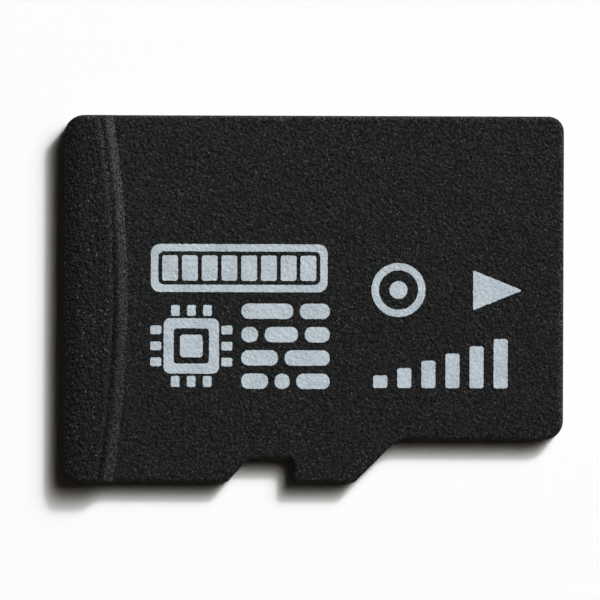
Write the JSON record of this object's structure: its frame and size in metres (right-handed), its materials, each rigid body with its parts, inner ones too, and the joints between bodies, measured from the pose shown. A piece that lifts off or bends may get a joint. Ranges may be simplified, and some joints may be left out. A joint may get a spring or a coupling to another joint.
{
  "type": "micro memory card",
  "caption": "Thin removable memory card with a notched and stepped long side, a curved pull ridge across its label face and gold contacts in its underside.",
  "frame": {"origin": "under the middle of the outline's box, on the plane of the contact side", "axes": "+X to the front edge that enters a socket first, +Y to the straight long side, +Z out of the label face"},
  "size_m": [0.015, 0.011, 0.001],
  "materials": {
    "moulding_compound": "fine matt grain with a faint sparkle",
    "board_mask": "satin dark mask over a laminate",
    "gold_plate": "bright plating with fine scuffs",
    "bonding_film": "thin clear film",
    "die_silicon": "polished",
    "capacitor_ceramic": "fired ceramic with tinned ends",
    "wire_gold": "drawn wire",
    "print_ink": "thin pale ink, slightly mottled"
  },
  "bodies": {
    "root": {"moulded_body": "moulding_compound", "laminate_board": "board_mask", "contact_1": "gold_plate", "contact_2": "gold_plate", "contact_3": "gold_plate", "contact_4": "gold_plate", "contact_5": "gold_plate", "contact_6": "gold_plate", "contact_7": "gold_plate", "contact_8": "gold_plate", "lower_die_film": "bonding_film", "lower_memory_die": "die_silicon", "upper_die_film": "bonding_film", "upper_memory_die": "die_silicon", "controller_film": "bonding_film", "controller_die": "die_silicon", "capacitor_1": "capacitor_ceramic", "capacitor_2": "capacitor_ceramic", "capacitor_3": "capacitor_ceramic", "capacitor_4": "capacitor_ceramic", "lower_bond_wires": "wire_gold", "upper_bond_wires": "wire_gold", "controller_bond_wires": "wire_gold"}
  },
  "joints": []
}
